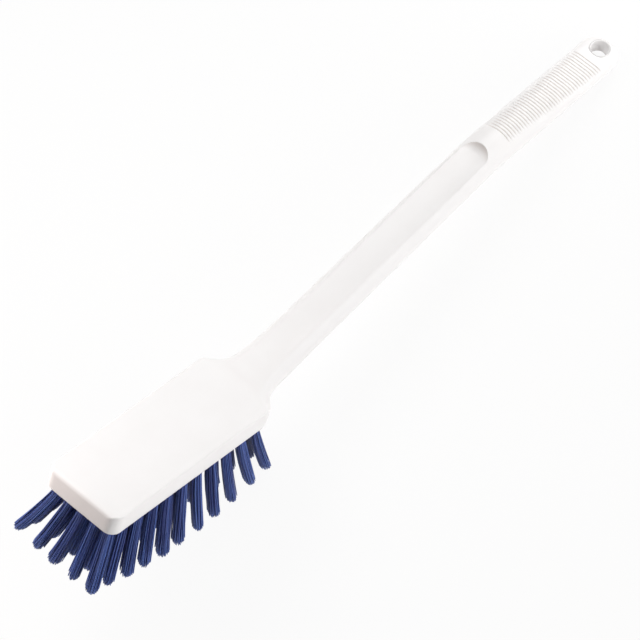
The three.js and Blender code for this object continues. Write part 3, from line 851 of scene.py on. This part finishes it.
def photo_camera(setup):
    """Camera that looks at a point of the floor, turned by azimuth, elevation and roll."""
    level = math.cos(setup.elevation)
    aside, ahead = -math.sin(setup.azimuth), math.cos(setup.azimuth)
    forward = Vector((aside * level, ahead * level, -math.sin(setup.elevation)))
    right = forward.cross((0, 0, 1)).normalized()
    right = Matrix.Rotation(setup.roll, 3, -forward) @ right
    turn = Matrix((right, right.cross(forward), -forward)).transposed().to_4x4()
    data = bpy.data.cameras.new("photo_camera")
    data.lens, data.sensor_width, data.clip_end = setup.lens, SENSOR_WIDTH, CAMERA_REACH
    camera = bpy.data.objects.new("photo_camera", data)
    place = Vector((*setup.middle, 0)) - forward * setup.distance
    camera.matrix_world = Matrix.Translation(place) @ turn
    return camera


def soft_lamp(name, place, aim, side, watts, colour):
    """Square lamp that looks at a point and isn't seen itself."""
    light = bpy.data.lights.new(f"{name}_lamp", "AREA")
    light.size, light.energy, light.color = side, watts, colour
    lamp = bpy.data.objects.new(f"{name}_lamp", light)
    lamp.location = place
    lamp.rotation_euler = (Vector(aim) - Vector(place)).to_track_quat("-Z", "Y").to_euler()
    lamp.visible_camera = False
    return lamp


class HandleSizes(PropertyGroup):
    """Small forms of the moulded handle."""
    hollow_depth: FloatProperty(
        name="Thumb hollow", description="Depth of the hollow along the thumb flat",
        default=0.0012, min=0, **LENGTH)
    hollow_depth_step: FloatProperty(
        name="Thumb hollow at step", description="Depth of the hollow where it meets the step",
        default=0.0018, min=0, **LENGTH)
    ridge_round_neck: FloatProperty(
        name="Ridge round at neck", description="Rounding of the flat's ridges by the neck",
        default=0.001, min=0.0001, **LENGTH)
    ridge_round_step: FloatProperty(
        name="Ridge round at step", description="Rounding of the flat's ridges and the step's rim",
        default=0.0005, min=0.0001, **LENGTH)
    step_cove: FloatProperty(
        name="Step cove", description="Length of the cove up from the flat to the step's rim",
        default=0.004, min=0.0005, **LENGTH)
    groove_width: FloatProperty(
        name="Groove width", description="Width of a groove of the grip",
        default=0.00085, min=0.0002, **LENGTH)
    groove_depth: FloatProperty(
        name="Groove depth", description="Depth of a groove of the grip",
        default=0.0006, min=0, **LENGTH)
    hole_rim_round: FloatProperty(
        name="Hole rim round", description="Rounding of the hanging hole's upper rim",
        default=0.0005, min=0.0001, **LENGTH)
    hole_under_round: FloatProperty(
        name="Hole under round", description="Rounding of the hanging hole's lower rim",
        default=0.0018, min=0.0001, max=0.0022, **LENGTH)


class HandleFinish(PropertyGroup):
    """Colours and gloss of the white moulding."""
    colour: FloatVectorProperty(
        name="White", description="Colour of the moulding",
        **COLOUR, default=(0.914, 0.903, 0.9))
    mottle_colour: FloatVectorProperty(
        name="Mottling", description="Colour of the faint clouds in the plastic",
        **COLOUR, default=(0.894, 0.879, 0.874))
    # Painted shade: the warm dark colour laid into the grooves, the tuft holes and the step's wall.
    crease_colour: FloatVectorProperty(
        name="Crease", description="Colour of the grooves, the tuft holes and the step's wall",
        **COLOUR, default=(0.5, 0.42, 0.36))
    # How much painted shade shows in the grooves, the tuft holes and the step's wall.
    crease_shade: FloatProperty(
        name="Crease share", description="How much of the crease colour shows",
        subtype="FACTOR", default=0.78, min=0, max=1)
    roughness: FloatProperty(
        name="Roughness", description="Roughness of the satin surface",
        subtype="FACTOR", default=0.42, min=0, max=1)


class TuftSizes(PropertyGroup):
    """Forms of the bristle tufts."""
    filaments: IntProperty(
        name="Filaments", description="Filaments in each tuft", default=96, min=7, max=120)
    filament_radius: FloatProperty(
        name="Filament radius", description="Radius of one filament",
        default=0.00026, min=0.0001, **LENGTH)
    length: FloatProperty(
        name="Bristle length", description="Length from the bristle face to the tips",
        default=0.043, min=0.01, unit="LENGTH", precision=4)
    root_radius: FloatProperty(
        name="Root radius", description="Radius of a tuft at its hole",
        default=0.0023, min=0.001, **LENGTH)
    tip_radius: FloatProperty(
        name="Tip radius", description="Radius of a tuft at its tip",
        default=0.0034, min=0.001, **LENGTH)
    tip_dome: FloatProperty(
        name="Tip dome", description="Share by which the outermost filaments are shorter",
        subtype="FACTOR", default=0.085, min=0, max=0.3)
    lean_scatter: FloatProperty(
        name="Lean scatter", description="How far a tuft's lean strays from the pattern",
        default=math.radians(1.1), min=0, max=math.radians(3), subtype="ANGLE")
    tuft_wear: FloatProperty(
        name="Tuft wear", description="Share by which a whole tuft may be shorter",
        subtype="FACTOR", default=0.004, min=0, max=0.1)
    raggedness: FloatProperty(
        name="Raggedness", description="Spread of the filaments' lengths, as a share",
        subtype="FACTOR", default=0.012, min=0, max=0.2)
    curl: FloatProperty(
        name="Curl", description="Sideways bow of a filament",
        default=0.00035, min=0, **LENGTH)
    front_lean: FloatProperty(
        name="Front lean", description="Lean along the head of the front tufts, backwards positive",
        default=math.radians(-12), subtype="ANGLE")
    middle_lean: FloatProperty(
        name="Middle lean", description="Lean along the head of the middle tufts",
        default=math.radians(-7), subtype="ANGLE")
    rear_lean: FloatProperty(
        name="Rear lean", description="Lean along the head of the rear tufts",
        default=math.radians(21), subtype="ANGLE")
    outer_lean: FloatProperty(
        name="Outer row lean", description="Lean of the outer rows outwards, at the head's ends",
        default=math.radians(13), subtype="ANGLE")
    middle_splay: FloatProperty(
        name="Middle splay", description="Further lean of the outer rows half way along the head",
        default=math.radians(4.8), subtype="ANGLE")
    front_drift: FloatProperty(
        name="Front drift", description="Lean to the left of the front tufts",
        default=math.radians(4.4), subtype="ANGLE")


class TuftFinish(PropertyGroup):
    """Colours of the filament."""
    deep_colour: FloatVectorProperty(
        name="Deep blue", description="Darkest filaments",
        **COLOUR, default=(0.023, 0.041, 0.2))
    light_colour: FloatVectorProperty(
        name="Light blue", description="Lightest filaments",
        **COLOUR, default=(0.1, 0.18, 0.52))
    tip_colour: FloatVectorProperty(
        name="Tip blue", description="Colour that worn tips go towards",
        **COLOUR, default=(0.12, 0.19, 0.5))


class WireFinish(PropertyGroup):
    """Colours of the anchor wire."""
    colour: FloatVectorProperty(
        name="Bright wire", description="Colour of the wire",
        **COLOUR, default=(0.62, 0.63, 0.65))
    line_colour: FloatVectorProperty(
        name="Drawn lines", description="Colour of the lines that drawing leaves",
        **COLOUR, default=(0.42, 0.42, 0.43))


class StageSetup(PropertyGroup):
    """Camera, floor and light."""
    azimuth: FloatProperty(
        name="Azimuth", description="Way the camera looks, turned from +Y",
        default=math.radians(-44.0363), subtype="ANGLE")
    elevation: FloatProperty(
        name="Elevation", description="Height of the camera above the horizon",
        default=math.radians(63.9583), subtype="ANGLE")
    roll: FloatProperty(
        name="Roll", description="Turn of the camera about its view",
        default=math.radians(-4.9258), subtype="ANGLE")
    distance: FloatProperty(
        name="Distance", description="From the camera to the middle of the view on the floor",
        default=2.219426, min=0.5, **LENGTH)
    middle: FloatVectorProperty(
        name="View middle", description="Point of the floor in the middle of the view",
        size=2, subtype="XYZ", default=(-0.0083756, 0.0107366), precision=6)
    lens: FloatProperty(
        name="Lens", description="Focal length on a 36 mm frame, in millimetres",
        default=233.4375, min=20)
    floor_colour: FloatVectorProperty(
        name="Floor", description="Colour of the floor",
        **COLOUR, default=(0.92, 0.91, 0.9))
    floor_shade: FloatProperty(
        name="Floor shadow", description="How much of the shadow shows on the white floor",
        subtype="FACTOR", default=0.08, min=0, max=1)
    lamp_share: FloatProperty(
        name="Lamps", description="Share of their full power that the lamps burn at",
        subtype="FACTOR", default=0.96, min=0, soft_max=2)
    sky_strength: FloatProperty(
        name="Sky", description="Strength of the light all round", default=0.03, min=0)


class BRUSH_OT_handle(Operator):
    """Make the moulded head, shaft and grip as one surface"""
    bl_idname = "brush.handle"
    bl_label = "Moulded handle"

    def execute(self, context):
        # The moulding keeps its share of painted shade on its points for the material.
        verts, quads, triangles, crease = moulded_sheet(context.scene.brush_handle)
        material = satin_moulding(context.scene.brush_handle_finish)
        piece = mesh_piece(
            "moulded_handle", in_frame(verts), quads, triangles, material, crease=crease)
        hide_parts("handle_moulding")
        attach(piece, "root")
        return {"FINISHED"}


class BRUSH_OT_tufts(Operator):
    """Make the four groups of bristle tufts, filament by filament"""
    bl_idname = "brush.tufts"
    bl_label = "Bristle tufts"

    def execute(self, context):
        sizes = context.scene.brush_tufts
        material = blue_filament(context.scene.brush_tuft_finish)
        for name, (first, last) in TUFT_GROUPS.items():
            verts, quads, caps, tone, along = bristle_arrays(first, last, sizes)
            piece = mesh_piece(
                f"bristles_{name}", in_frame(verts), quads, caps, material, tone=tone, along=along)
            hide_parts(f"tufts_{name}")
            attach(piece, "root")
        return {"FINISHED"}


class BRUSH_OT_anchors(Operator):
    """Give the wire anchors in the tuft holes their drawn finish"""
    bl_idname = "brush.anchors"
    bl_label = "Anchor wire finish"

    def execute(self, context):
        material = drawn_wire(context.scene.brush_wire_finish)
        nodes = frame["nodes"]
        anchors = [nodes[name] for name in nodes if name.startswith("tuft_anchor")]
        if len(anchors) != ROWS * COLUMNS:
            raise RuntimeError("the frame doesn't hold one anchor for each tuft")
        for node in anchors:
            node.data.materials.clear()
            node.data.materials.append(material)
        return {"FINISHED"}


class BRUSH_OT_stage(Operator):
    """Set up the floor, the light and the camera"""
    bl_idname = "brush.stage"
    bl_label = "Stage"

    def execute(self, context):
        scene = context.scene
        setup = scene.brush_stage
        scene.view_settings.view_transform = "Standard"
        ends = ((-1, -1), (1, -1), (1, 1), (-1, 1))
        corners = np.array([(x * FLOOR_REACH, y * FLOOR_REACH, FLOOR_HEIGHT) for x, y in ends])
        material = pale_floor(setup.floor_colour, setup.floor_shade)
        floor = mesh_piece(
            "floor", corners, np.array(((0, 1, 2, 3),)), np.zeros((0, 3), int), material)
        camera = photo_camera(setup)
        scene.collection.objects.link(camera)
        scene.camera = camera
        for name, (place, aim, side, watts, colour) in LAMPS.items():
            lamp = soft_lamp(name, place, aim, side, watts * setup.lamp_share, colour)
            scene.collection.objects.link(lamp)
        scene.world = studio_world(setup.sky_strength)
        return {"FINISHED"}


class BRUSH_PT_sidebar(Panel):
    """Sizes, finishes and steps of the dish brush"""
    bl_label = "Dish brush"
    bl_idname = "BRUSH_PT_sidebar"
    bl_space_type = "VIEW_3D"
    bl_region_type = "UI"
    bl_category = "Dish brush"

    def draw(self, context):
        for operator in OPERATORS:
            self.layout.operator(operator.bl_idname)
        for key, group in GROUPS.items():
            box = self.layout.box()
            box.label(text=group.__doc__)
            values = getattr(context.scene, key)
            for name in group.__annotations__:
                box.prop(values, name)


GROUPS = {
    "brush_handle": HandleSizes,
    "brush_handle_finish": HandleFinish,
    "brush_tufts": TuftSizes,
    "brush_tuft_finish": TuftFinish,
    "brush_wire_finish": WireFinish,
    "brush_stage": StageSetup,
}
OPERATORS = (BRUSH_OT_handle, BRUSH_OT_tufts, BRUSH_OT_anchors, BRUSH_OT_stage)


def register():
    for key, group in GROUPS.items():
        bpy.utils.register_class(group)
        setattr(bpy.types.Scene, key, PointerProperty(type=group))
    for cls in (*OPERATORS, BRUSH_PT_sidebar):
        bpy.utils.register_class(cls)


def unregister():
    for cls in (BRUSH_PT_sidebar, *reversed(OPERATORS)):
        bpy.utils.unregister_class(cls)
    for key, group in reversed(GROUPS.items()):
        delattr(bpy.types.Scene, key)
        bpy.utils.unregister_class(group)


def main():
    """Registers the classes and makes every piece."""
    register()
    bpy.ops.brush.handle()
    bpy.ops.brush.tufts()
    bpy.ops.brush.anchors()
    bpy.ops.brush.stage()


if __name__ == "__main__":
    main()
